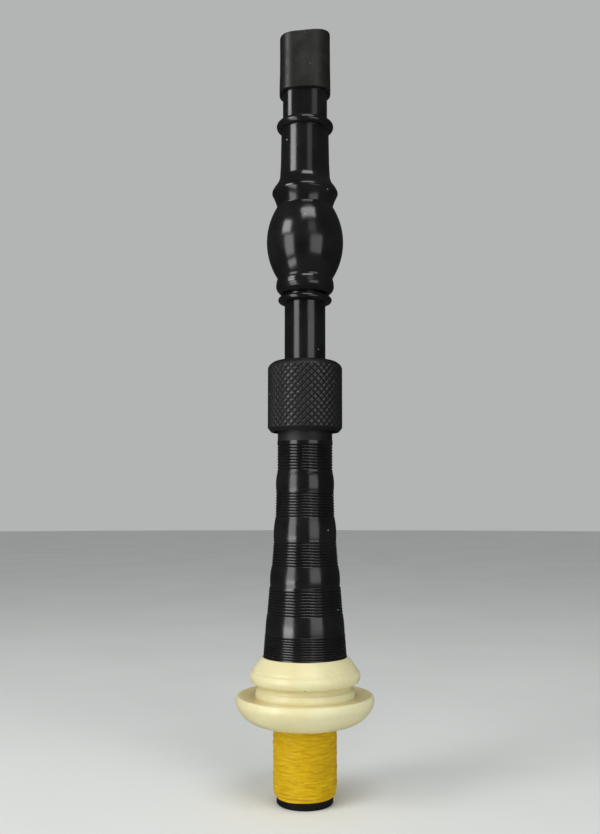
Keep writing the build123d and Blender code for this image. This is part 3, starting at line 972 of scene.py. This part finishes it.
# %% Projecting mount
mount = lathe("ivory_projecting_mount", eased(outline(
    (11.6, 0.0), (14.5, 0.0), ((21.2, 2.7), (23.95, 6.6)), ((24.25, 8.0), (24.0, 9.3)),
    ((23.6, 9.9), (22.9, 9.8)), ((20.4, 9.0), (17.6, 8.7)), (17.2, 9.0),
    ((17.4, 10.5), (16.95, 12.0)), (16.6, 12.2), ((16.5, 13.2), (17.4, 14.1)),
    (18.5, 14.4), ((19.36, 16.2), (18.95, 18.1)), ((18.4, 18.5), (18.2, 19.2)),
    ((16.9, 20.9), (15.1, 23.1)), (11.6, 23.1)), size=0.2))
finish_piece(mount, ivory, "blowstick", "projecting_mount")

# %% [markdown]
# ## The hemp winding
# A tenon is wound with waxed, twisted hemp until it fits its stock: close turns that
# lie almost level, with some that cross over on the way back up, and a last few that
# taper off on the bare end. Each winding is a helix with a little wander, swept with
# a soft round section. The tree keeps the distance along the thread and the height of
# its middle as attributes, for the finish to draw the twist with. Several layers and
# eight crossing strands lie over a plain core, and the ends of each are tucked in.

# %% Winding tree
HEMP_FOOT = -0.0246        # where the winding ends, at the rim of the tenon
WOUND_RADIUS = 0.0107      # of the threads' middles, near enough for their length
TUCK = 0.0008              # how far a thread's end goes under its neighbours
THREAD_SOFTNESS = 60       # degrees; the threads are round, so nearly all is smooth


def winding_tree():
    tree, given, end = new_tree(
        "Hemp winding",
        {"Turns": 30.0, "Bottom": -0.024, "Top": -0.001, "Radius": 0.0107, "Taper": 0.001,
         "Taper height": 0.003, "Thread radius": 0.0004, "Wander": 0.0002, "Seed": 1.0,
         "Steps": 2000, "Start angle": 0.0, "Finish": "Material"}, "Geometry")
    line = add(tree, "GeometryNodeMeshLine", {
        "Count": given["Steps"], "Offset": (0.0, 0.0, 1.0)}, mode="OFFSET")
    index = add(tree, "GeometryNodeInputIndex").outputs[0]
    share = calc(tree, "DIVIDE", index, minus(tree, given["Steps"], 1.0))
    turned = times(tree, share, given["Turns"])
    angle = scaled(tree, turned, TURN, given["Start angle"])
    climb = minus(tree, given["Top"], given["Bottom"])
    level = scaled(tree, share, climb, given["Bottom"])
    ring = from_polar(tree, angle, 1.6, times(tree, level, 1400.0))
    wandering = add(tree, "ShaderNodeTexNoise", {
        "Vector": ring, "W": given["Seed"], "Scale": 1.0, "Detail": 2.0},
        noise_dimensions="4D")
    up, out, _ = parts(tree, wandering.outputs[1])
    drift = times(tree, minus(tree, up, 0.5), given["Wander"])
    z = scaled(tree, drift, 2.0, level)
    taper_top = plus(tree, given["Taper height"], HEMP_FOOT)
    tapered = remap(tree, level, HEMP_FOOT, taper_top, given["Taper"], 0.0,
                    interpolation_type="SMOOTHSTEP")
    swell = times(tree, minus(tree, out, 0.5), given["Wander"])
    # both ends are tucked under the turns below them
    near_end = calc(tree, "MINIMUM", share, minus(tree, 1.0, share))
    turns_left = times(tree, near_end, calc(tree, "ABSOLUTE", given["Turns"]))
    tucked = remap(tree, turns_left, 0.0, 0.07, TUCK, 0.0, interpolation_type="SMOOTHSTEP")
    sunk = plus(tree, tapered, tucked)
    radius = plus(tree, minus(tree, given["Radius"], sunk), swell)
    kept = moved_to(tree, line.outputs[0], angle, radius, z)
    for label, value in (("thread_z", z), ("along", times(tree, turned, TURN * WOUND_RADIUS))):
        kept = add(tree, "GeometryNodeStoreNamedAttribute", {
            0: kept, "Name": label, "Value": value},
            data_type="FLOAT", domain="POINT").outputs[0]
    curve = add(tree, "GeometryNodeMeshToCurve", {0: kept})
    section = add(tree, "GeometryNodeCurvePrimitiveCircle", {
        "Resolution": 8, "Radius": given["Thread radius"]}, mode="RADIUS")
    thick = add(tree, "GeometryNodeCurveToMesh", {
        0: curve.outputs[0], 1: section.outputs[0], "Fill Caps": True})
    return close_shape(tree, thick.outputs[0], given["Finish"], end)


winding = winding_tree()


def wind(name, **values):
    """One winding of hemp thread, as a plain mesh."""
    return grow(name, winding, yellow_hemp, THREAD_SOFTNESS, **values)


# %% Hemp on the tenon
hemp = lathe("wound_tenon_hemp", outline(
    (9.4, -24.6), (9.75, -24.6), ((10.2, -23.0), (10.5, -21.0)), (10.5, -0.05),
    (9.4, -0.05)))
hemp.data.materials.append(yellow_hemp)
layers = [
    wind("close_turns", Turns=36.0, Bottom=-0.02425, Top=-0.00042, Radius=0.01064,
         Taper=0.00072, Taper_height=0.0036, Thread_radius=0.00045, Wander=0.00012,
         Seed=2.0, Steps=2400),
    wind("over_turns", Turns=17.0, Bottom=-0.0218, Top=-0.0011, Radius=0.01049,
         Taper=0.0005, Taper_height=0.003, Thread_radius=0.00062, Wander=0.0013,
         Seed=7.0, Steps=1500, Start_angle=1.9),
    wind("last_turns", Turns=2.2, Bottom=-0.0243, Top=-0.0214, Radius=0.01076,
         Taper=0.0007, Taper_height=0.0034, Thread_radius=0.00042, Wander=0.0004,
         Seed=9.0, Steps=300, Start_angle=3.3),
]
# (start angle, turns, from, to) of strands that cross the others
CROSSINGS = ((2.75, 0.50, -0.6, -8.2), (3.25, 0.32, -0.5, -7.4), (2.9, 0.62, -6.8, -13.6),
             (3.1, 0.55, -12.5, -18.0), (5.6, -1.3, -10.5, -0.5), (0.4, 0.7, -3.0, -14.0),
             (1.6, 0.8, -1.0, -12.0), (4.9, 0.6, -2.0, -8.5))
for number, (start, turns, first, final) in enumerate(CROSSINGS):
    layers.append(wind("crossing_strand_%d" % number, Turns=turns, Bottom=first * MM,
                       Top=final * MM, Radius=0.01073, Taper=0.0, Taper_height=0.003,
                       Thread_radius=0.00036, Wander=0.0005, Seed=4.0 + number, Steps=220,
                       Start_angle=start))
for layer in layers:
    join(hemp, layer)
smooth(hemp, THREAD_SOFTNESS)
finish_piece(hemp, yellow_hemp, "blowstick", "tenon_hemp")
print("hemp:", len(hemp.data.polygons), "faces")

# %% [markdown]
# ## Pieces that keep their CAD shape
# Seals, bush, washer, collet and valve sit inside and are already the right shape.
# They only need real finishes in their material slots.

# %% Finishes on the inner pieces
INNER_FINISHES = {
    "guide_bush": grip_nylon, "grip_ring": grip_nylon, "gland_seal": seal_rubber,
    "slide_seals": seal_rubber, "mouthpiece_seals": seal_rubber, "valve_seal": seal_rubber,
    "thrust_washer": washer_brass, "valve_housing": valve_plastic,
    "valve_flap": flap_silicone, "flap_pin": pin_steel,
}
for node_name, finish in INNER_FINISHES.items():
    node_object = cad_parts[node_name]
    if not node_object.material_slots:
        node_object.data.materials.append(finish)
    for material_slot in node_object.material_slots:
        material_slot.material = finish
print("inner pieces finished:", len(INNER_FINISHES))

# %% [markdown]
# ## Floor, light and camera
# The pipe stands on its tenon on a plain pale floor. On black acetal it is the soft
# lights that draw the shape, as long highlights. Two tall ones stand in front, a strong
# one to the left and a weaker, wider one to the right, each with a second one above it
# for the faces that slope upwards. A low one on the left shows only in reflections, and
# one overhead lights the ivory and the floor. The surroundings are pale to look at but
# dim as a light, and the floor is dark in reflections, or black surfaces would turn grey.

# %% Floor
def floor_material():
    material, tree, shader = start_material("pale_floor", Specular_IOR_Level=0.2,
                                            Roughness=0.8)
    grain = use(tree, tone, Scale=9.0)
    pale = blend_colour(tree, grain, (0.80, 0.815, 0.80), (0.83, 0.845, 0.83))
    mirrored = add(tree, "ShaderNodeLightPath").outputs["Is Glossy Ray"]
    feed(tree, shader, Base_Color=blend_colour(tree, mirrored, pale, (0.07, 0.07, 0.07)))
    return material


FLOOR_GAP = 0.02           # mm under the tenon, so that their faces don't coincide
FLOOR_REACH, FLOOR_DEPTH = 4000, 20
floor_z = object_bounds()[0].z / MM - FLOOR_GAP
floor = lathe("floor", [(0.5, floor_z - FLOOR_DEPTH), (FLOOR_REACH, floor_z - FLOOR_DEPTH),
                        (FLOOR_REACH, floor_z), (0.5, floor_z)], 96)
floor.data.materials.append(floor_material())
floor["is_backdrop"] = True

# %% Lights and surroundings
def soft_light(name, azimuth, distance, low, high, width, radiance):
    """An upright panel between two heights; azimuth 0 is in front of the pipe."""
    data = bpy.data.lights.new(name, "AREA")
    data.shape = "RECTANGLE"
    data.size, data.size_y = width, high - low
    data.energy = radiance * math.pi * data.size * data.size_y
    lamp = bpy.data.objects.new(name, data)
    bpy.context.scene.collection.objects.link(lamp)
    turn = math.radians(azimuth)
    lamp.location = (distance * math.sin(turn), -distance * math.cos(turn), (low + high) / 2)
    lamp.rotation_euler = (math.radians(90), 0, turn)
    lamp.visible_camera = False
    return lamp


# azimuth, distance, lowest and highest point, width and radiance
WINDOWS = {
    "left_window": (-48, 0.55, -0.01, 0.31, 0.27, 3.9),
    "left_low_window": (-48, 0.26, -0.024, 0.045, 0.14, 4.6),
    "left_upper_window": (-58, 0.62, 0.37, 0.64, 0.30, 7.0),
    "right_window": (34, 0.60, -0.01, 0.31, 0.38, 1.9),
    "right_upper_window": (22, 0.62, 0.37, 0.62, 0.24, 0.9),
    "overhead_window": (14, 0.40, 0.62, 0.86, 0.42, 5.5),
}
windows = {name: soft_light(name, *place) for name, place in WINDOWS.items()}
windows["left_low_window"].visible_diffuse = False     # only a reflection
windows["overhead_window"].rotation_euler.x = math.radians(35)

PALE_TO_CAMERA, DIM_IN_GLOSS, DIM_LIGHT = 0.46, 0.03, 0.40
world = bpy.data.worlds.new("surroundings")
bpy.context.scene.world = world
world.use_nodes = True
sky = world.node_tree
seen = add(sky, "ShaderNodeLightPath").outputs["Is Camera Ray"]
glossy = add(sky, "ShaderNodeLightPath").outputs["Is Glossy Ray"]
around = remap(sky, glossy, 0.0, 1.0, DIM_LIGHT, DIM_IN_GLOSS)
strength = add(sky, "ShaderNodeMix", {0: seen, 2: around, 3: PALE_TO_CAMERA}).outputs[0]
background = sky.nodes["Background"]
background.inputs["Color"].default_value = (0.98, 1.0, 0.99, 1)
sky.links.new(strength, background.inputs["Strength"])

# %% Camera
CAMERA_PLACE = (0.0, -0.3322, 0.075)
CAMERA_PITCH = math.radians(3.7)
camera_data = bpy.data.cameras.new("camera")
camera_data.lens = 40.36
camera_data.sensor_width = 36.0
camera_data.shift_x, camera_data.shift_y = -0.0060, 0.0366
camera_data.clip_start = 0.01
camera = bpy.data.objects.new("camera", camera_data)
bpy.context.scene.collection.objects.link(camera)
camera.location = CAMERA_PLACE
camera.rotation_euler = (math.radians(90) + CAMERA_PITCH, 0, 0)
bpy.context.scene.camera = camera
bpy.context.scene.view_settings.view_transform = "Standard"
print("camera at", CAMERA_PLACE)

# %% Sizes and finish
bpy.context.view_layer.update()
low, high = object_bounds()
print("visual box:", [round(v / MM, 2) for v in (*low, *high)])
